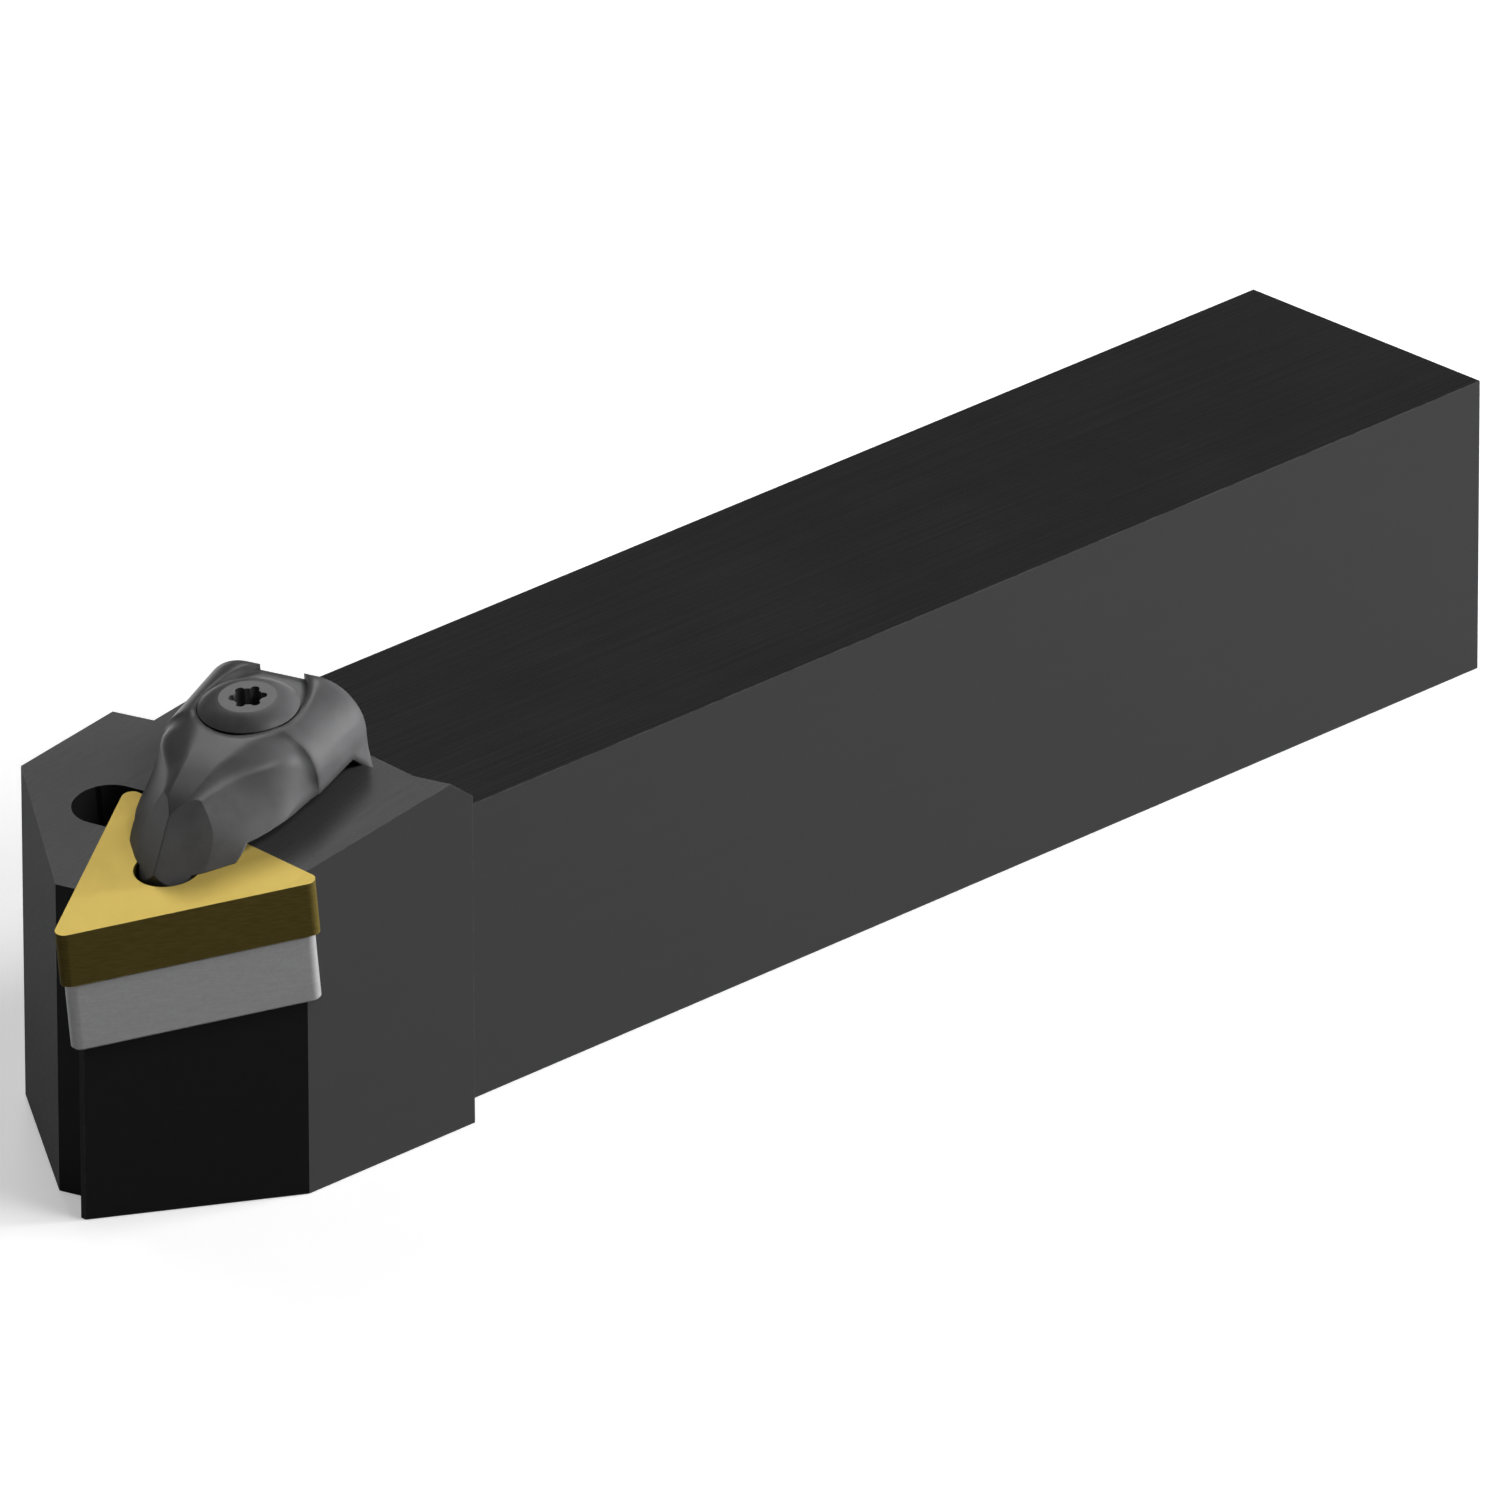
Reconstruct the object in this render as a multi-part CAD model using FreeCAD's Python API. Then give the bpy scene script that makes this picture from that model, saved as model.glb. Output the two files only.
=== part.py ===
import FreeCAD, Part
import math
import os

# External turning tool holder with a triangular insert held by a rigid top clamp.
# Units are millimetres. X runs along the shank with the head at -X, Z is up, and the
# insert side of the shank faces -Y. The origin is on the bottom face, in the middle of
# the plain shank.

# Shank
shank_height = 25.4
shank_width = 25.4
overall_length = 152.4
head_length = 36.3

# Cutting geometry
cutting_height = 25.4
nose_from_back = 19.86
cutting_edge_angle = 30.0
rake_angle = 6.0
inclination_angle = 6.0

# Insert
insert_circle = 12.7
insert_thickness = 4.76
insert_nose_radius = 0.8
insert_hole_diameter = 5.16
insert_hole_edge = 0.08

# Shim and its screw
shim_thickness = 6.15
shim_inset = 0.22
shim_corner_radius = 0.8
shim_edge = 0.2
shim_hole_diameter = 4.3
shim_screw_diameter = 3.9
shim_screw_head_diameter = 5.6
shim_screw_head_height = 1.3
shim_screw_sink = 0.5
shim_screw_grip = 6.5
shim_screw_drive = 2.3
shim_screw_drive_depth = 1.0

# Head outline
head_overhang = 3.2
flank_setback = 1.98
front_setback = 2.8
fin_setback = 1.16
front_corner_back = 4.94
front_corner_from_back = 14.43
far_corner_back = 15.03
front_face_angle = 16.0

# Head top, heel ramp and pocket
head_below_insert = 0.08
ramp_reach = 18.7
ramp_angle = 47.0
ramp_depth = 2.83
pocket_wall_gap = 0.03
relief_radius = 2.84
relief_along_edge = 2.0
relief_from_corner = 1.8
relief_slot_angle = 46.0
relief_slot_length = 4.0
relief_extra_depth = 0.4

# Clamp, measured from the insert's centre along the clamp's own axis
clamp_heading = 17.5
heel_length = 1.35
clamp_half_width = 7.08
clamp_neck_half_width = 6.92
clamp_neck_reach = 12.35
clamp_height = 6.4
clamp_neck_height = 6.32
clamp_shoulder = 4.0
clamp_underside = 1.0
clamp_pad_end = 2.55
clamp_pad_rise_end = 4.1
clamp_seat_gap = 0.01
nose_ridge_reach = -2.15
nose_ridge_height = 0.6
nose_facet_angle = 48.0
nose_facet_half_angle = 44.5
nose_pin_radius = 2.3
nose_pin_offset = 0.2
nose_pin_depth = 2.4
nose_pin_top = 2.6
nose_pin_edge = 0.5
nose_front_limit = -0.3
heel_half_width = 6.95
heel_foot_half_width = 7.4
heel_gap = 0.02
land_height = 5.87
land_rear_length = 6.3
land_half_width = 4.1

# Neck of the clamp, from its nose to the screw. Each row gives the reach, the crown's
# height and half width, the side crease's half width and drop, and the foot's half width.
neck_rows = [
    (-0.6, 3.2, 0.3, 0.6, 0.25, 2.1),
    (1.3, 4.3, 0.5, 0.95, 0.3, 3.75),
    (3.2, 5.03, 0.9, 1.75, 0.45, 5.2),
    (4.75, 5.36, 1.1, 2.3, 0.65, 6.1),
    (6.5, 5.68, 1.3, 3.2, 0.9, 6.6),
    (8.3, 5.93, 1.6, 4.5, 1.15, 6.8),
    (9.7, 6.1, 1.95, 5.35, 1.45, 6.82),
    (11.1, 6.24, 2.4, 5.95, 2.1, 6.85),
]
neck_loft_degree = 3
neck_fullness = 0.42

# Clamp screw and spring
screw_reach = 14.5
screw_diameter = 4.9
screw_length = 19.5
screw_end_chamfer = 0.6
screw_seat_diameter = 7.0
screw_flange_diameter = 8.0
screw_flange_underside = 0.38
screw_flange_rim = 0.08
screw_dome_height = 0.8
screw_dome_swell = 0.3
screw_disc_diameter = 4.6
screw_drive = 3.1
screw_drive_depth = 1.9
screw_thread_clearance = 0.05
screw_hole_depth = 17.0
clamp_hole_diameter = 5.5
spring_wire = 0.6
spring_mean_diameter = 6.0
spring_turns = 2.5
spring_bends_per_turn = 14
spring_pocket_clearance = 0.35
spring_pocket_depth = 3.6

# A six-lobe drive has the same form in every size: these are shares of its width.
lobe_radius_share = 0.13
lobe_core_share = 0.38

# Extra length of a tapped hole past its screw, and of solids that run into one another
thread_runout = 2.0
overlap = 1.0
tolerance = 1e-6

# Reach of a cubic curve's handles that makes it a quarter circle
round_fullness = 4 * (math.sqrt(2) - 1) / 3

rear_x = (overall_length - head_length) / 2
step_x = -rear_x
tip_x = rear_x - overall_length
head_blank_height = 2 * cutting_height
back_y = shank_width / 2
front_y = -shank_width / 2

vector = FreeCAD.Vector
up = vector(0, 0, 1)


def plan_direction(degrees):
    angle = math.radians(degrees)
    return vector(math.cos(angle), math.sin(angle), 0)


def frame_at(origin, x_direction, z_direction):
    """Placement whose local Z is z_direction and whose local X is nearest x_direction."""
    rotation = FreeCAD.Rotation(x_direction, vector(), z_direction, "ZXY")
    return FreeCAD.Placement(origin, rotation)


def lifted(direction):
    """A plan direction carried up onto the insert's tilted plane, as a unit vector."""
    rise = vector(direction)
    rise.z = slope.dot(direction)
    return rise.normalize()


def meet(point_a, degrees_a, point_b, degrees_b):
    """Crossing point of two plan lines, each given by a point and a direction."""
    along_a = plan_direction(degrees_a)
    along_b = plan_direction(degrees_b)
    gap = point_b - point_a
    turn = along_a.x * along_b.y - along_a.y * along_b.x
    reach = (gap.x * along_b.y - gap.y * along_b.x) / turn
    return point_a + along_a * reach


def prism(points, length):
    """Closed polygon of points swept by the vector length."""
    wire = Part.makePolygon(points + [points[0]])
    return Part.Face(wire).extrude(length)


def cylinder(radius, bottom, top, x=0, y=0):
    return Part.makeCylinder(radius, top - bottom, vector(x, y, bottom))


# The insert plane: its slope follows from the edge angle, the rake and the inclination.
edge_plan = plan_direction(-cutting_edge_angle)
outward_plan = plan_direction(-cutting_edge_angle - 90)
slope = edge_plan * math.tan(math.radians(inclination_angle))
slope = slope - outward_plan * math.tan(math.radians(rake_angle))
insert_normal = vector(-slope.x, -slope.y, 1).normalize()

insert_side = insert_circle * math.sqrt(3)
sharp_nose_x = tip_x - insert_nose_radius
sharp_nose = vector(sharp_nose_x, back_y - nose_from_back, cutting_height)
edge_frame = frame_at(sharp_nose, lifted(edge_plan), insert_normal)

# The insert's own centre carries the insert, the shim and the clamp.
insert_centre = edge_frame.multVec(vector(insert_side / 2, insert_circle / 2, 0))
insert_frame = frame_at(insert_centre, lifted(edge_plan), insert_normal)
clamp_frame = frame_at(insert_centre, lifted(plan_direction(clamp_heading)), insert_normal)
clamp_reach = ramp_reach + heel_length
spring_room_radius = (spring_mean_diameter + spring_wire) / 2 + spring_pocket_clearance


def triangle(circle, corner_radius, bottom, top):
    """Three-sided plate about the local origin, one side along local X at -Y."""
    half_side = circle * math.sqrt(3) / 2
    corners = [
        vector(-half_side, -circle / 2, bottom),
        vector(half_side, -circle / 2, bottom),
        vector(0, circle, bottom),
    ]
    plate = prism(corners, vector(0, 0, top - bottom))
    uprights = [edge for edge in plate.Edges if is_along(edge, up)]
    return plate.makeFillet(corner_radius, uprights)


def is_along(edge, direction):
    if len(edge.Vertexes) < 2:
        return False
    line = edge.Vertexes[1].Point - edge.Vertexes[0].Point
    return line.cross(direction).Length < tolerance * line.Length


def six_lobe(across, top, depth):
    """Cutter for a six-lobe drive recess that opens upwards at the height top."""
    lobe_radius = across * lobe_radius_share
    lobe_circle = across / 2 - lobe_radius
    cutter = cylinder(across * lobe_core_share, top - depth, top)
    for step in range(6):
        place = plan_direction(60 * step) * lobe_circle
        cutter = cutter.fuse(cylinder(lobe_radius, top - depth, top, place.x, place.y))
    return cutter.removeSplitter()


def make_insert():
    body = triangle(insert_circle, insert_nose_radius, -insert_thickness, 0)
    hole_radius = insert_hole_diameter / 2
    body = body.cut(cylinder(hole_radius, -insert_thickness, 0))
    rims = [edge for edge in body.Edges if is_circle(edge, hole_radius)]
    body = body.makeChamfer(insert_hole_edge, rims)
    body.Placement = insert_frame
    return body


def is_circle(edge, radius):
    curve = edge.Curve
    return isinstance(curve, Part.Circle) and abs(curve.Radius - radius) < tolerance


def shim_screw_head_cone(extra):
    """Cone of the countersunk head, widened by extra, from its top down to its shank."""
    top = -insert_thickness - shim_screw_sink
    head_radius = shim_screw_head_diameter / 2 + extra
    neck_radius = shim_screw_diameter / 2 + extra
    bottom = vector(0, 0, top - shim_screw_head_height)
    return Part.makeCone(neck_radius, head_radius, shim_screw_head_height, bottom)


def make_shim():
    top = -insert_thickness
    bottom = top - shim_thickness
    shim_circle = insert_circle - 2 * shim_inset
    body = triangle(shim_circle, shim_corner_radius, bottom, top)
    rims = [edge for edge in body.Edges if abs(edge.BoundBox.ZLength) < tolerance]
    body = body.makeChamfer(shim_edge, rims)
    body = body.cut(cylinder(shim_hole_diameter / 2, bottom, top))
    seat_gap = (shim_hole_diameter - shim_screw_diameter) / 2
    body = body.cut(shim_screw_head_cone(seat_gap))
    sink_radius = shim_screw_head_diameter / 2 + seat_gap
    body = body.cut(cylinder(sink_radius, top - shim_screw_sink, top))
    body.Placement = insert_frame
    return body


def make_shim_screw():
    top = -insert_thickness - shim_screw_sink
    bottom = -insert_thickness - shim_thickness - shim_screw_grip
    body = cylinder(shim_screw_diameter / 2, bottom, top)
    body = body.fuse(shim_screw_head_cone(0)).removeSplitter()
    body = body.cut(six_lobe(shim_screw_drive, top, shim_screw_drive_depth))
    body.Placement = insert_frame
    return body


def head_outline():
    """Plan outline of the head, from the step on the insert side round to the back."""
    side_y = front_y - head_overhang
    nose = vector(sharp_nose.x, sharp_nose.y, 0)
    flank = nose - outward_plan * flank_setback
    flank_start = meet(flank, -cutting_edge_angle, vector(0, side_y, 0), 0)
    front = vector(tip_x + front_setback, 0, 0)
    fin_tip = meet(flank, -cutting_edge_angle, front, 90)
    second_edge = plan_direction(cutting_edge_angle - 90)
    fin = nose + second_edge * fin_setback
    fin_corner = meet(fin, cutting_edge_angle, front, 90)
    front_corner = vector(tip_x + front_corner_back, back_y - front_corner_from_back, 0)
    fin_end = meet(fin, cutting_edge_angle, front_corner, 90 + front_face_angle)
    return [
        vector(step_x, side_y, 0),
        flank_start,
        fin_tip,
        fin_corner,
        fin_end,
        front_corner,
        vector(tip_x + far_corner_back, back_y, 0),
        vector(step_x, back_y, 0),
    ]


def above_head():
    """Everything over the head: its tilted top, the heel ramp and the lower rear land."""
    reach = overall_length
    ramp_run = ramp_depth / math.tan(math.radians(ramp_angle))
    top = -head_below_insert
    profile = [
        vector(-reach, -reach, top),
        vector(ramp_reach, -reach, top),
        vector(ramp_reach + ramp_run, -reach, top - ramp_depth),
        vector(reach, -reach, top - ramp_depth),
        vector(reach, -reach, reach),
        vector(-reach, -reach, reach),
    ]
    block = prism(profile, vector(0, 2 * reach, 0))
    block.Placement = clamp_frame
    return block


def pocket():
    """Wedge-shaped seat open to the cutting edge and the nose, walls on the other sides."""
    depth = insert_thickness + shim_thickness
    apex = vector(0, insert_circle + 2 * pocket_wall_gap, -depth)
    arm = 2 * insert_side
    right = apex + plan_direction(-60) * arm
    left = apex + plan_direction(-120) * arm
    seat = prism([apex, right, left], vector(0, 0, depth + head_blank_height))
    seat.Placement = insert_frame
    return seat


def corner_relief():
    """Round-ended clearance milled behind the insert's inner corner."""
    depth = insert_thickness + shim_thickness + relief_extra_depth
    place_x = -relief_along_edge
    place_y = insert_circle - relief_from_corner
    relief = cylinder(relief_radius, -depth, head_blank_height, place_x, place_y)
    slot = Part.makeBox(
        relief_slot_length,
        2 * relief_radius,
        depth + head_blank_height,
        vector(0, -relief_radius, -depth),
    )
    slot.rotate(vector(), up, -relief_slot_angle)
    slot.translate(vector(place_x, place_y, 0))
    relief = relief.fuse(slot).removeSplitter()
    relief.Placement = insert_frame
    return relief


def holder_holes():
    """Tapped holes for both screws and the pocket for the lifting spring."""
    floor = -insert_thickness - shim_thickness
    shim_thread = shim_screw_diameter / 2 + screw_thread_clearance
    shim_hole_end = floor - shim_screw_grip - thread_runout
    shim_hole = cylinder(shim_thread, shim_hole_end, floor + overlap)
    shim_hole.Placement = insert_frame
    thread = screw_diameter / 2 + screw_thread_clearance
    clamp_hole = cylinder(thread, -screw_hole_depth, head_blank_height, screw_reach)
    spring_pocket = cylinder(
        spring_room_radius,
        -spring_pocket_depth,
        head_blank_height,
        screw_reach,
    )
    clamp_hole = clamp_hole.fuse(spring_pocket)
    clamp_hole.Placement = clamp_frame
    return [shim_hole, clamp_hole]


def make_holder_body():
    head = prism(head_outline(), vector(0, 0, head_blank_height))
    head = head.cut(above_head())
    shank_corner = vector(step_x, front_y, 0)
    shank = Part.makeBox(rear_x - step_x, shank_width, shank_height, shank_corner)
    body = head.fuse(shank).removeSplitter()
    body = body.cut(pocket())
    body = body.cut(corner_relief())
    for hole in holder_holes():
        body = body.cut(hole)
    return body


def arch(reach, foot_half, top_half, top, drop, run, fullness):
    """Cross-section of the clamp: slanting sides, curved shoulders and a flat crown.

    The side line runs from foot_half at the seat to top_half at the crown's height. The
    shoulder leaves it at drop below the crown and lands on the crown after run. It is
    a straight slope at a fullness of 0 and rounder the larger that is.
    """
    def point(across, height):
        return vector(reach, across, height)

    lean = (foot_half - top_half) / top
    side_end = top_half + lean * drop

    def shoulder(sign):
        curve = Part.BezierCurve()
        low = point(sign * side_end, top - drop)
        corner = point(sign * top_half, top)
        high = point(sign * (top_half - run), top)
        low_handle = low + (corner - low) * fullness
        high_handle = high + (corner - high) * fullness
        curve.setPoles([low, low_handle, high_handle, high])
        return curve.toShape()

    right_foot = point(-foot_half, 0)
    left_foot = point(foot_half, 0)
    right_side = Part.makeLine(right_foot, point(-side_end, top - drop))
    crown = Part.makeLine(point(run - top_half, top), point(top_half - run, top))
    left_side = Part.makeLine(point(side_end, top - drop), left_foot)
    base = Part.makeLine(left_foot, right_foot)
    return Part.Wire([right_side, shoulder(-1), crown, shoulder(1), left_side, base])


def clamp_underside_cutter():
    """Space under the clamp: level with the insert at the pad, then raised to the rear."""
    reach = 2 * clamp_reach
    profile = [
        vector(-reach, -reach, clamp_seat_gap),
        vector(clamp_pad_end, -reach, clamp_seat_gap),
        vector(clamp_pad_rise_end, -reach, clamp_underside),
        vector(reach, -reach, clamp_underside),
        vector(reach, -reach, -reach),
        vector(-reach, -reach, -reach),
    ]
    return prism(profile, vector(0, 2 * reach, 0))


def nose_facet(side):
    """Half-space cut away in front of one of the two facets that meet in the nose ridge."""
    ridge = vector(nose_ridge_reach, 0, nose_ridge_height)
    climb = math.radians(nose_facet_angle)
    along_ridge = vector(math.cos(climb), 0, math.sin(climb))
    half = math.radians(nose_facet_half_angle)
    sweep = vector(math.cos(half), side * math.sin(half), 0)
    normal = along_ridge.cross(sweep)
    if normal.x > 0:
        normal = normal * -1
    size = 2 * clamp_reach
    block = Part.makeBox(size, size, size, vector(-size / 2, -size / 2, 0))
    block.Placement = frame_at(ridge, along_ridge, normal)
    return block


def heel():
    """Wedge under the clamp's rear that slides down the ramp in the head."""
    pull = math.tan(math.radians(ramp_angle))
    start = ramp_reach + heel_gap / math.sin(math.radians(ramp_angle))
    ramp_top = -head_below_insert
    top = clamp_underside + overlap
    front_reach = start - (top - ramp_top) / pull
    tip_height = ramp_top - (clamp_reach - start) * pull
    side = 2 * heel_half_width
    wedge = prism(
        [
            vector(front_reach, -side, top),
            vector(clamp_reach, -side, tip_height),
            vector(clamp_reach, -side, top),
        ],
        vector(0, 2 * side, 0),
    )
    draft = prism(
        [
            vector(front_reach, -heel_half_width, top),
            vector(front_reach, heel_half_width, top),
            vector(front_reach, heel_foot_half_width, tip_height),
            vector(front_reach, -heel_foot_half_width, tip_height),
        ],
        vector(clamp_reach - front_reach, 0, 0),
    )
    spring_seat = cylinder(spring_room_radius, tip_height, clamp_underside, screw_reach)
    return wedge.common(draft).cut(spring_seat)


def nose_pin():
    """Round peg that reaches down into the insert's hole."""
    pin = cylinder(nose_pin_radius, -nose_pin_depth, nose_pin_top, nose_pin_offset)
    rims = [edge for edge in pin.Edges if is_circle(edge, nose_pin_radius)]
    low = min(rims, key=lambda edge: edge.CenterOfMass.z)
    return pin.makeFillet(nose_pin_edge, [low])


def nose_front_trim():
    """Stock in front of the peg that would overhang the insert's hole."""
    size = 2 * clamp_reach
    front = Part.makeBox(size, size, size, vector(nose_front_limit - size, -size / 2, -size / 2))
    return front.cut(cylinder(nose_pin_radius, -size, size, nose_pin_offset))


def neck_section(reach, top, crown_half, crease_half, crease_drop, foot_half):
    """Section of the neck given by its visible lines: crown edge, crease and foot."""
    crease_height = top - crease_drop
    lean = (foot_half - crease_half) / crease_height
    top_half = foot_half - lean * top
    run = top_half - crown_half
    return arch(reach, foot_half, top_half, top, crease_drop, run, neck_fullness)


def make_clamp():
    neck = clamp_neck_half_width
    neck_top = clamp_neck_height
    shoulder = clamp_shoulder
    join = arch(clamp_neck_reach, neck, neck, neck_top, shoulder, shoulder, round_fullness)
    sections = [neck_section(*row) for row in neck_rows]
    front = Part.makeLoft(sections + [join], True, False, False, neck_loft_degree)
    front = front.cut(clamp_underside_cutter())
    front = front.cut(nose_front_trim())
    pin = nose_pin()
    for side in (-1, 1):
        front = front.cut(nose_facet(side))
        pin = pin.cut(nose_facet(side))
    half = clamp_half_width
    end = arch(clamp_reach, half, half, clamp_height, shoulder, shoulder, round_fullness)
    rear = Part.makeLoft([join, end], True, True).cut(clamp_underside_cutter())
    body = front.fuse(pin).fuse(rear).fuse(heel())
    body = body.cut(screw_land())
    body = body.cut(cylinder(clamp_hole_diameter / 2, -clamp_reach, clamp_reach, screw_reach))
    body = body.removeSplitter()
    body.Placement = clamp_frame
    return body


def screw_land():
    """Flat milled into the crown under the screw's flange, running out to the rear."""
    radius = land_half_width
    front = cylinder(radius, land_height, 2 * clamp_height, screw_reach)
    oval = Part.Ellipse(vector(screw_reach, 0, land_height), land_rear_length, radius)
    rear = Part.Face(Part.Wire([oval.toShape()])).extrude(vector(0, 0, clamp_height))
    size = 2 * clamp_reach
    before_screw = Part.makeBox(size, size, size, vector(screw_reach - size, -size / 2, 0))
    return front.fuse(rear.cut(before_screw)).removeSplitter()


def make_clamp_screw():
    seat = land_height + clamp_seat_gap
    rim = seat + screw_flange_underside
    rim_top = rim + screw_flange_rim
    disc = rim_top + screw_dome_height
    tip = seat - screw_length
    radius = screw_diameter / 2
    flange = screw_flange_diameter / 2
    disc_radius = screw_disc_diameter / 2
    swell_radius = (flange + disc_radius) / 2 + screw_dome_swell

    def point(out, height):
        return vector(screw_reach + out, 0, height)

    swell = point(swell_radius, rim_top + screw_dome_height / 2)
    dome = Part.Arc(point(flange, rim_top), swell, point(disc_radius, disc))
    below = Part.makePolygon([
        point(disc_radius, disc),
        point(0, disc),
        point(0, tip),
        point(radius - screw_end_chamfer, tip),
        point(radius, tip + screw_end_chamfer),
        point(radius, seat),
        point(screw_seat_diameter / 2, seat),
        point(flange, rim),
        point(flange, rim_top),
    ])
    outline = Part.Wire(below.Edges + [dome.toShape()])
    body = Part.Face(outline).revolve(vector(screw_reach, 0, 0), up, 360)
    recess = six_lobe(screw_drive, disc, screw_drive_depth)
    recess.translate(vector(screw_reach, 0, 0))
    body = body.cut(recess)
    body.Placement = clamp_frame
    return body


def make_clamp_spring():
    """Compression spring between the spring pocket and the clamp, in short straight runs."""
    coil_radius = spring_mean_diameter / 2
    wire_radius = spring_wire / 2
    run = clamp_underside + spring_pocket_depth - spring_wire
    bends = round(spring_turns * spring_bends_per_turn)
    points = []
    for bend in range(bends + 1):
        place = plan_direction(360 * bend / spring_bends_per_turn) * coil_radius
        height = wire_radius - spring_pocket_depth + run * bend / bends
        points.append(place + vector(screw_reach, 0, height))
    start = Part.makeCircle(wire_radius, points[0], points[1] - points[0])
    path = Part.makePolygon(points)
    coil = path.makePipeShell([Part.Wire([start])], True, False, 1)
    coil.Placement = clamp_frame
    return coil


def main():
    os.makedirs("parts", exist_ok=True)
    pieces = {
        "holder_body": make_holder_body(),
        "insert": make_insert(),
        "shim": make_shim(),
        "shim_screw": make_shim_screw(),
        "clamp": make_clamp(),
        "clamp_screw": make_clamp_screw(),
        "clamp_spring": make_clamp_spring(),
    }
    for name, shape in pieces.items():
        shape.exportStep("parts/" + name + ".step")
        print(name, len(shape.Solids), shape.isValid(), round(shape.Volume, 1))


main()
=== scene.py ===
import math
import bpy
from mathutils import Matrix, Vector


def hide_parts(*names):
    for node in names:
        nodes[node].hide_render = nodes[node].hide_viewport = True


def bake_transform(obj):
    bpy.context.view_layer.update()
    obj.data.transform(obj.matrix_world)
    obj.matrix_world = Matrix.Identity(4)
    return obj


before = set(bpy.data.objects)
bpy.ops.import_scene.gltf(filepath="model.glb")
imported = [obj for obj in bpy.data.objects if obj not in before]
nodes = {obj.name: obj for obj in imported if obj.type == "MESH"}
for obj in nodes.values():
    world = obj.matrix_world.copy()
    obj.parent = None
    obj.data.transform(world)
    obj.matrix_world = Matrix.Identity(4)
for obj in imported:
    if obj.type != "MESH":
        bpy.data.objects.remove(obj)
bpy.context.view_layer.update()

scene = bpy.context.scene

# Normal of the insert's top face, along which the clamp lifts.
INSERT_UP = Vector((-0.1420148, -0.0380528, 0.9891328))
# The clamp's heading from the insert to the rear, square to INSERT_UP.
CLAMP_HEADING = Vector((0.94337, 0.29744, 0.14689))
# The insert centre's distance along CLAMP_HEADING.
INSERT_REACH = -0.076026
# Normals of the head's two front faces, which get a near-black painted shade.
HEAD_FRONTS = ((-0.5, -0.866, 0.0), (-0.8195, 0.5730, 0.0))

# The lifting spring's point on the screw's axis, level with the insert's top face, and the
# heights of the coil's foot and top from there.
SPRING_CENTRE = Vector((-0.0689002, -0.0028122, 0.0293361))
SPRING_FOOT = -0.0036
SPRING_TOP = 0.0010
COIL_RADIUS = 0.0030
COIL_TURNS = 2.5
COIL_RINGS = 81
WIRE_RADIUS = 0.0003
WIRE_SIDES = 12

# Oxide and metal tones, as linear colours; the head's front tone and the insert's flank tones are
# painted shade
PAINTED_SHADE_FRONTS = (0.011, 0.011, 0.0115)
RAKE_DARK, RAKE_LIGHT = (0.71, 0.525, 0.130), (0.76, 0.568, 0.147)
RAKE_GRIT = (0.80, 0.63, 0.24)
PAINTED_SHADE_FLANK_DARK, PAINTED_SHADE_FLANK_LIGHT = (0.098, 0.074, 0.019), (0.118, 0.090, 0.025)
COATING_WORN = (0.78, 0.62, 0.22)
CARBIDE_DARK, CARBIDE_LIGHT = (0.325, 0.325, 0.33), (0.365, 0.365, 0.37)
CARBIDE_WORN = (0.5, 0.5, 0.5)
WIRE_DARK, WIRE_LIGHT = (0.22, 0.21, 0.20), (0.40, 0.39, 0.38)
PAPER_DARK, PAPER_LIGHT = (0.90, 0.90, 0.90), (0.92, 0.92, 0.92)
PAPER_BOUNCE = (0.15, 0.15, 0.15)

# Floor: radius and height of each ring of the round sheet. The rim is near enough for the
# cameras of the side views to see it.
FLOOR_RINGS = [(3.95, -0.00005), (4.15, 0.03), (4.25, 0.11), (4.3, 0.3)]
FLOOR_SIDES = 64
FLOOR_GLOW = 0.38

# Lamps: name, azimuth and elevation in degrees, half angle in degrees, radiance, whether
# surfaces mirror it, and distance.
LAMP_TARGET = Vector((-0.03, 0, 0.02))
LAMPS = [
    ("key", -30, 7, 15, 28.0, False, 1.2),
    ("sheen", -34, 16, 22, 3.0, True, 1.2),
    ("back", 55, 49, 9, 8.5, True, 1.2),
    ("top", -75, 55, 12, 7.0, True, 1.2),
    ("fill", 92, 6, 12, 6.5, False, 3.0),
]
WORLD_STRENGTH = 0.06

# Camera fitted to the photograph: the focal length is in pixels of its frame.
FOCAL_PIXELS = 30900.8
FRAME_PIXELS = 1500
SENSOR_WIDTH = 36.0
CAMERA_PLACE = (-1.57438595, -1.57643597, 1.04632655)
CAMERA_RIGHT = (0.70943043, -0.70477107, -0.00249253)
CAMERA_FORWARD = (0.63802827, 0.64374067, -0.42251376)


# Node helpers

def new_material(name):
    material = bpy.data.materials.new(name)
    material.use_nodes = True
    tree = material.node_tree
    shader = tree.nodes["Principled BSDF"]
    return material, tree, shader


def add(tree, kind, **settings):
    node = tree.nodes.new(kind)
    for key, value in settings.items():
        setattr(node, key, value)
    return node


def link(tree, source, target):
    tree.links.new(source, target)


def math_node(tree, operation, first, second, clamp=False):
    node = add(tree, "ShaderNodeMath", operation=operation, use_clamp=clamp)
    for index, value in enumerate((first, second)):
        if isinstance(value, (int, float)):
            node.inputs[index].default_value = value
        else:
            link(tree, value, node.inputs[index])
    return node.outputs[0]


def scaled(tree, value, factor):
    return math_node(tree, "MULTIPLY", value, factor)


def shared(tree, first, second, share):
    """share of the first value and the rest of the second."""
    return math_node(tree, "ADD", scaled(tree, first, share), scaled(tree, second, 1 - share))


def ramp(tree, value, low, high):
    """Maps value from low..high to 0..1, smoothly."""
    node = add(tree, "ShaderNodeMapRange", interpolation_type="SMOOTHSTEP")
    link(tree, value, node.inputs["Value"])
    node.inputs["From Min"].default_value = low
    node.inputs["From Max"].default_value = high
    return node.outputs["Result"]


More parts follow.
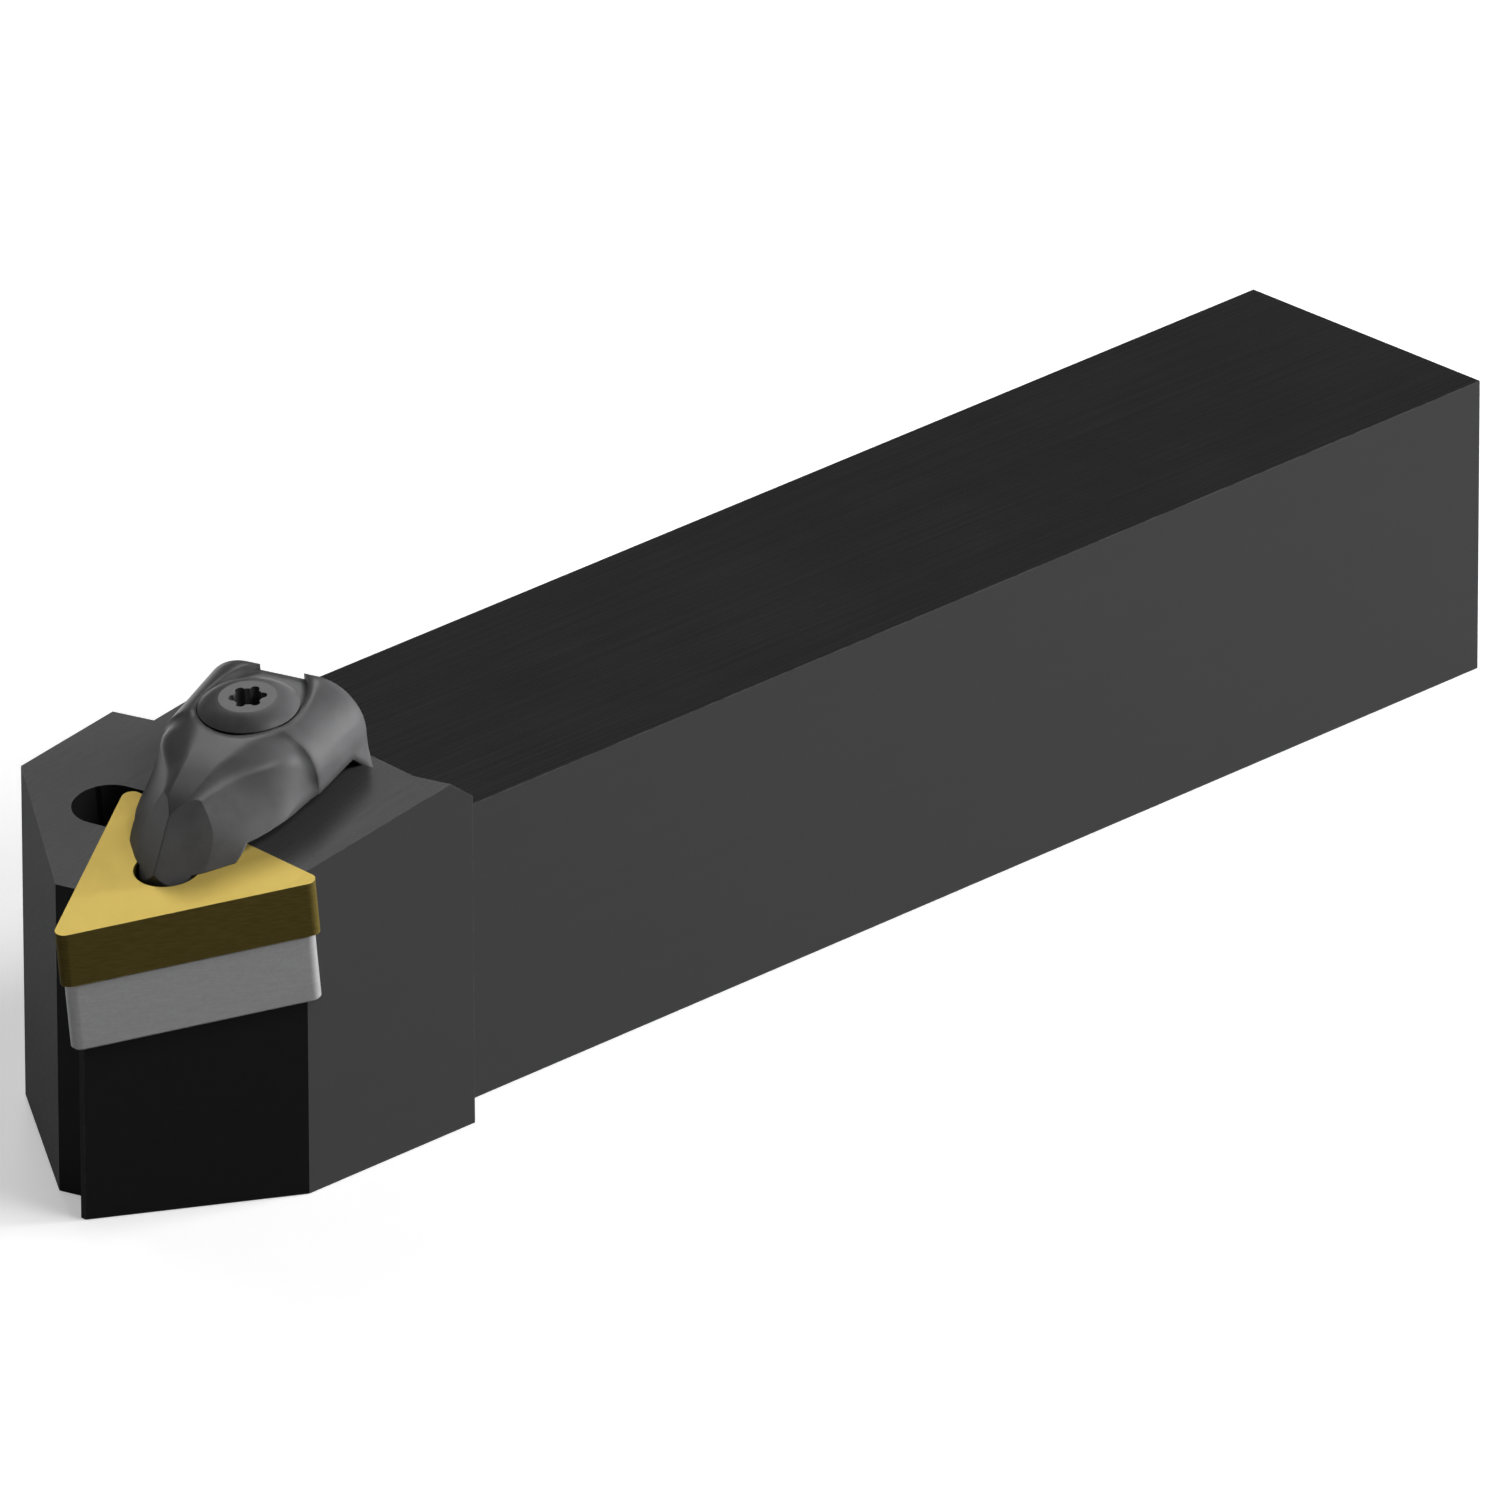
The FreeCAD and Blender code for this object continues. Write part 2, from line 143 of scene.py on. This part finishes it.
def range_of(tree, value, low, high):
    """Scales a noise, which stays mostly within 0.3..0.7, into low..high."""
    node = add(tree, "ShaderNodeMapRange")
    link(tree, value, node.inputs["Value"])
    node.inputs["From Min"].default_value = 0.3
    node.inputs["From Max"].default_value = 0.7
    node.inputs["To Min"].default_value = low
    node.inputs["To Max"].default_value = high
    return node.outputs["Result"]


def along(tree, source, direction):
    """The part of a vector that lies along direction, a vector or another socket."""
    node = add(tree, "ShaderNodeVectorMath", operation="DOT_PRODUCT")
    link(tree, source, node.inputs[0])
    if isinstance(direction, bpy.types.NodeSocket):
        link(tree, direction, node.inputs[1])
    else:
        node.inputs[1].default_value = direction
    return node.outputs["Value"]


def facing(tree, direction, low, high):
    """1 where the surface looks along direction, 0 where it looks away from it."""
    geometry = add(tree, "ShaderNodeNewGeometry")
    return ramp(tree, along(tree, geometry.outputs["True Normal"], direction), low, high)


def noise(tree, scale, stretch=(1, 1, 1), turn=(0, 0, 0), detail=4.0, rough=0.55):
    coords = add(tree, "ShaderNodeTexCoord")
    mapping = add(tree, "ShaderNodeMapping")
    mapping.inputs["Scale"].default_value = stretch
    mapping.inputs["Rotation"].default_value = turn
    link(tree, coords.outputs["Object"], mapping.inputs["Vector"])
    node = add(tree, "ShaderNodeTexNoise")
    node.inputs["Scale"].default_value = scale
    node.inputs["Detail"].default_value = detail
    node.inputs["Roughness"].default_value = rough
    link(tree, mapping.outputs["Vector"], node.inputs["Vector"])
    return node.outputs["Fac"]


def mix_colour(tree, factor, first, second):
    node = add(tree, "ShaderNodeMix", data_type="RGBA")
    link(tree, factor, node.inputs["Factor"])
    for name, value in (("A", first), ("B", second)):
        socket = [s for s in node.inputs if s.name == name and s.type == "RGBA"][0]
        if isinstance(value, tuple):
            socket.default_value = (*value, 1)
        else:
            link(tree, value, socket)
    return [s for s in node.outputs if s.type == "RGBA"][0]


def edge_wear(tree, radius, strength):
    """strength on convex and concave edges within radius, 0 on open faces, broken by noise."""
    bevel = add(tree, "ShaderNodeBevel", samples=6)
    bevel.inputs["Radius"].default_value = radius
    geometry = add(tree, "ShaderNodeNewGeometry")
    kept = along(tree, bevel.outputs["Normal"], geometry.outputs["Normal"])
    mask = ramp(tree, math_node(tree, "SUBTRACT", 1.0, kept), 0.02, 0.25)
    broken = ramp(tree, noise(tree, 900, detail=5), 0.35, 0.62)
    return scaled(tree, math_node(tree, "MULTIPLY", mask, broken), strength)


def soft_edges(tree):
    """Clamp's normal with rounded edges: crisp at the nose, broad where the neck meets the rear."""
    coords = add(tree, "ShaderNodeTexCoord")
    place = along(tree, coords.outputs["Object"], CLAMP_HEADING)
    rear = ramp(tree, math_node(tree, "SUBTRACT", place, INSERT_REACH), 0.0075, 0.0105)
    bevel = add(tree, "ShaderNodeBevel", samples=8)
    radius = math_node(tree, "ADD", scaled(tree, rear, 0.0009), 0.00015)
    link(tree, radius, bevel.inputs["Radius"])
    return bevel.outputs["Normal"]


def bump(tree, shader, height, strength, distance, normal=None):
    node = add(tree, "ShaderNodeBump")
    if normal:
        link(tree, normal, node.inputs["Normal"])
    node.inputs["Strength"].default_value = strength
    node.inputs["Distance"].default_value = distance
    link(tree, height, node.inputs["Height"])
    link(tree, node.outputs["Normal"], shader.inputs["Normal"])


# Materials

def blackened(name, dark, light, worn, wear_radius, rough, gloss, grain, bump_depth,
              soften=False, painted_light_sides=None, side_rough=None, painted_highlight_top=None):
    """Blackened steel: tool marks along grain, cloudy oxide tone and worn edges.

    The side tone and side_rough are the tone and roughness of the upright faces; the side tone is
    painted light, lighter than the tops, and the head's two front faces get a near-black painted
    shade.
    The top tone, for faces that look along INSERT_UP, is a painted highlight."""
    material, tree, shader = new_material(name)
    marks = noise(tree, 1.0, stretch=grain, detail=5, rough=0.6)
    cloud = noise(tree, 60, detail=5, rough=0.6)
    speck = noise(tree, 1800, detail=3, rough=0.6)
    tone = shared(tree, marks, cloud, 0.45)
    colour = mix_colour(tree, ramp(tree, tone, 0.38, 0.62), dark, light)
    roughness = range_of(tree, marks, rough - 0.035, rough + 0.035)
    # Painted light: the upright faces get a lighter tone than the tops.
    if painted_light_sides:
        upright = facing(tree, (0, 0, 1), 0.9, 0.6)
        colour = mix_colour(tree, upright, colour, painted_light_sides)
        # Painted shade: the head's two front faces turn near black.
        for direction in HEAD_FRONTS:
            front = facing(tree, direction, 0.985, 0.995)
            colour = mix_colour(tree, front, colour, PAINTED_SHADE_FRONTS)
        extra = scaled(tree, upright, side_rough - rough)
        roughness = math_node(tree, "ADD", roughness, extra)
    # Painted highlight: faces that look along INSERT_UP get a lighter tone.
    if painted_highlight_top:
        colour = mix_colour(tree, facing(tree, INSERT_UP, 0.993, 0.998), colour, painted_highlight_top)
    wear = edge_wear(tree, wear_radius, 0.55)
    colour = mix_colour(tree, wear, colour, worn)
    link(tree, colour, shader.inputs["Base Color"])
    polish = scaled(tree, wear, 0.12)
    roughness = math_node(tree, "SUBTRACT", roughness, polish, clamp=True)
    link(tree, roughness, shader.inputs["Roughness"])
    shader.inputs["Specular IOR Level"].default_value = gloss
    height = shared(tree, marks, speck, 0.75)
    bump(tree, shader, height, 0.35, bump_depth, soft_edges(tree) if soften else None)
    return material


def coated_insert():
    """Gold-coloured coating on the rake face, over flanks in a far darker tone that is painted
    shade.
    """
    material, tree, shader = new_material("coated_carbide_look")
    grain = noise(tree, 2600, detail=4, rough=0.65)
    cloud = noise(tree, 140, detail=4)
    face = mix_colour(tree, ramp(tree, cloud, 0.35, 0.65), RAKE_DARK, RAKE_LIGHT)
    grit = ramp(tree, grain, 0.6, 0.78)
    face = mix_colour(tree, scaled(tree, grit, 0.25), face, RAKE_GRIT)
    # Painted shade: the flanks take a far darker tone than the rake face, streaked with grinding
    # lines.
    lines = noise(tree, 1.0, stretch=(900, 900, 9000), detail=3)
    flank = mix_colour(tree, ramp(tree, lines, 0.35, 0.65), PAINTED_SHADE_FLANK_DARK, PAINTED_SHADE_FLANK_LIGHT)
    colour = mix_colour(tree, facing(tree, INSERT_UP, 0.75, 0.92), flank, face)
    colour = mix_colour(tree, edge_wear(tree, 0.00012, 0.5), colour, COATING_WORN)
    link(tree, colour, shader.inputs["Base Color"])
    shader.inputs["Specular IOR Level"].default_value = 0.0
    shader.inputs["Metallic"].default_value = 0.15
    link(tree, range_of(tree, grain, 0.34, 0.46), shader.inputs["Roughness"])
    bump(tree, shader, grain, 0.2, 0.000012)
    return material


def ground_carbide():
    """Bare carbide with grinding lines along the flanks."""
    material, tree, shader = new_material("shim_carbide_look")
    turn = (0, math.radians(-6), 0)
    lines = noise(tree, 1.0, stretch=(700, 700, 5200), turn=turn, detail=4)
    speck = noise(tree, 3000, detail=3)
    tone = ramp(tree, shared(tree, lines, speck, 0.6), 0.35, 0.65)
    colour = mix_colour(tree, tone, CARBIDE_DARK, CARBIDE_LIGHT)
    colour = mix_colour(tree, edge_wear(tree, 0.00012, 0.4), colour, CARBIDE_WORN)
    link(tree, colour, shader.inputs["Base Color"])
    shader.inputs["Metallic"].default_value = 0.2
    shader.inputs["Specular IOR Level"].default_value = 0.4
    link(tree, range_of(tree, lines, 0.38, 0.5), shader.inputs["Roughness"])
    bump(tree, shader, lines, 0.2, 0.000006)
    return material


def spring_wire():
    """Bright drawn wire with fine streaks."""
    material, tree, shader = new_material("spring_steel_look")
    streak = noise(tree, 1.0, stretch=(900, 900, 4000), detail=3)
    colour = mix_colour(tree, ramp(tree, streak, 0.35, 0.65), WIRE_DARK, WIRE_LIGHT)
    link(tree, colour, shader.inputs["Base Color"])
    shader.inputs["Metallic"].default_value = 0.9
    link(tree, range_of(tree, streak, 0.25, 0.4), shader.inputs["Roughness"])
    bump(tree, shader, streak, 0.2, 0.00001)
    return material


# The holder's lighter side tone is painted light, its near-black front faces are painted shade and
# its lighter top tone is a painted highlight.
holder_look = blackened(
    "holder_steel_look",
    dark=(0.0190, 0.0190, 0.0197), light=(0.0225, 0.0225, 0.0233), worn=(0.10, 0.10, 0.105),
    wear_radius=0.00025, rough=0.28, gloss=0.06, grain=(50, 3200, 3200), bump_depth=0.000004,
    painted_light_sides=(0.0365, 0.0365, 0.0375), side_rough=0.6, painted_highlight_top=(0.055, 0.055, 0.056))
clamp_look = blackened(
    "clamp_steel_look",
    dark=(0.076, 0.076, 0.078), light=(0.102, 0.102, 0.105), worn=(0.23, 0.23, 0.235),
    wear_radius=0.00020, rough=0.34, gloss=0.22, grain=(420, 420, 420), bump_depth=0.000012,
    soften=True)
screw_look = blackened(
    "screw_steel_look",
    dark=(0.085, 0.085, 0.087), light=(0.110, 0.110, 0.113), worn=(0.24, 0.24, 0.245),
    wear_radius=0.00012, rough=0.34, gloss=0.20, grain=(700, 700, 700), bump_depth=0.000008)
spring_look = spring_wire()

looks = {
    "holder_body": holder_look,
    "clamp": clamp_look,
    "clamp_screw": screw_look,
    "shim_screw": screw_look,
    "insert": coated_insert(),
    "shim": ground_carbide(),
    "clamp_spring": spring_look,
}
for name, look in looks.items():
    for place in nodes[name].material_slots:
        place.material = look


# New pieces

def ring_faces(rings, around):
    """Quads between neighbouring rings, each of them around points long."""
    faces = []
    for ring in range(rings - 1):
        for step in range(around):
            here, after = around * ring + step, around * ring + (step + 1) % around
            faces.append((here, after, after + around, here + around))
    return faces


def mesh_object(name, points, faces, material):
    mesh = bpy.data.meshes.new(name)
    mesh.from_pydata(points, [], faces)
    mesh.materials.append(material)
    piece = bpy.data.objects.new(name, mesh)
    scene.collection.objects.link(piece)
    return piece


def lifting_spring():
    """Round wire coil from the pocket's floor to the clamp's underside."""
    across = INSERT_UP.cross(CLAMP_HEADING).normalized()
    low, high = SPRING_FOOT + WIRE_RADIUS, SPRING_TOP - WIRE_RADIUS
    sweep = 2 * math.pi * COIL_TURNS
    points = []
    for ring in range(COIL_RINGS):
        share = ring / (COIL_RINGS - 1)
        turn = sweep * share
        out = CLAMP_HEADING * math.cos(turn) + across * math.sin(turn)
        level = across * math.cos(turn) - CLAMP_HEADING * math.sin(turn)
        run = (level * sweep * COIL_RADIUS + INSERT_UP * (high - low)).normalized()
        rise = run.cross(out)
        middle = SPRING_CENTRE + out * COIL_RADIUS + INSERT_UP * (low + (high - low) * share)
        for step in range(WIRE_SIDES):
            angle = 2 * math.pi * step / WIRE_SIDES
            points.append(middle + (out * math.cos(angle) + rise * math.sin(angle)) * WIRE_RADIUS)
    first_end = tuple(reversed(range(WIRE_SIDES)))
    last_end = tuple(range(WIRE_SIDES * (COIL_RINGS - 1), WIRE_SIDES * COIL_RINGS))
    faces = [first_end, last_end] + ring_faces(COIL_RINGS, WIRE_SIDES)
    spring = mesh_object("lifting_spring", points, faces, spring_look)
    spring.data.polygons.foreach_set("use_smooth", [len(face) == 4 for face in faces])
    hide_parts("clamp_spring")
    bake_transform(spring)


# Floor, light and camera

def floor_paper():
    """Pale paper, bright where it is seen and dim where it lights the part."""
    material, tree, shader = new_material("floor_paper")
    shader.inputs["Roughness"].default_value = 0.9
    shader.inputs["Specular IOR Level"].default_value = 0.0
    path = add(tree, "ShaderNodeLightPath").outputs
    seen = math_node(tree, "MAXIMUM", path["Is Camera Ray"], path["Is Glossy Ray"])
    seen = math_node(tree, "MAXIMUM", seen, path["Is Transmission Ray"])
    grain = ramp(tree, noise(tree, 300, detail=5), 0.2, 0.8)
    paper = mix_colour(tree, grain, PAPER_DARK, PAPER_LIGHT)
    link(tree, mix_colour(tree, seen, PAPER_BOUNCE, paper), shader.inputs["Base Color"])
    link(tree, scaled(tree, seen, FLOOR_GLOW), shader.inputs["Emission Strength"])
    shader.inputs["Emission Color"].default_value = (1, 1, 1, 1)
    return material


def floor():
    """A round sheet of paper whose rim turns up behind everything."""
    turns = [2 * math.pi * step / FLOOR_SIDES for step in range(FLOOR_SIDES)]
    points = []
    for radius, rise in FLOOR_RINGS:
        points += [(radius * math.cos(turn), radius * math.sin(turn), rise) for turn in turns]
    faces = [tuple(range(FLOOR_SIDES))] + ring_faces(len(FLOOR_RINGS), FLOOR_SIDES)
    plane = mesh_object("floor", points, faces, floor_paper())


def softbox(name, azimuth, elevation, spread, radiance, mirrored, distance):
    """Round lamp seen from LAMP_TARGET at azimuth and elevation, spread degrees to its rim."""
    data = bpy.data.lights.new(name, "AREA")
    data.shape = "DISK"
    radius = distance * math.tan(math.radians(spread))
    data.size = 2 * radius
    data.energy = radiance * (math.pi * radius) ** 2
    lamp = bpy.data.objects.new(name, data)
    lamp.visible_glossy = mirrored
    scene.collection.objects.link(lamp)
    side, rise = math.radians(azimuth), math.radians(elevation)
    level = math.cos(rise)
    aim = Vector((math.cos(side) * level, math.sin(side) * level, math.sin(rise)))
    lamp.location = LAMP_TARGET + aim * distance
    lamp.rotation_euler = aim.to_track_quat("Z", "Y").to_euler()


def studio():
    world = bpy.data.worlds.new("studio")
    scene.world = world
    world.use_nodes = True
    background = world.node_tree.nodes["Background"]
    background.inputs["Color"].default_value = (1, 1, 1, 1)
    background.inputs["Strength"].default_value = WORLD_STRENGTH
    for lamp in LAMPS:
        softbox(*lamp)


def camera():
    data = bpy.data.cameras.new("camera")
    data.sensor_width = SENSOR_WIDTH
    data.lens = FOCAL_PIXELS / FRAME_PIXELS * data.sensor_width
    data.clip_start = 0.1
    data.clip_end = 100.0
    eye = bpy.data.objects.new("camera", data)
    scene.collection.objects.link(eye)
    right = Vector(CAMERA_RIGHT).normalized()
    forward = Vector(CAMERA_FORWARD).normalized()
    above = right.cross(forward)
    turn = Matrix((right, above, -forward)).transposed().to_4x4()
    eye.matrix_world = Matrix.Translation(CAMERA_PLACE) @ turn
    scene.camera = eye


lifting_spring()
floor()
studio()
camera()
scene.view_settings.view_transform = "Standard"
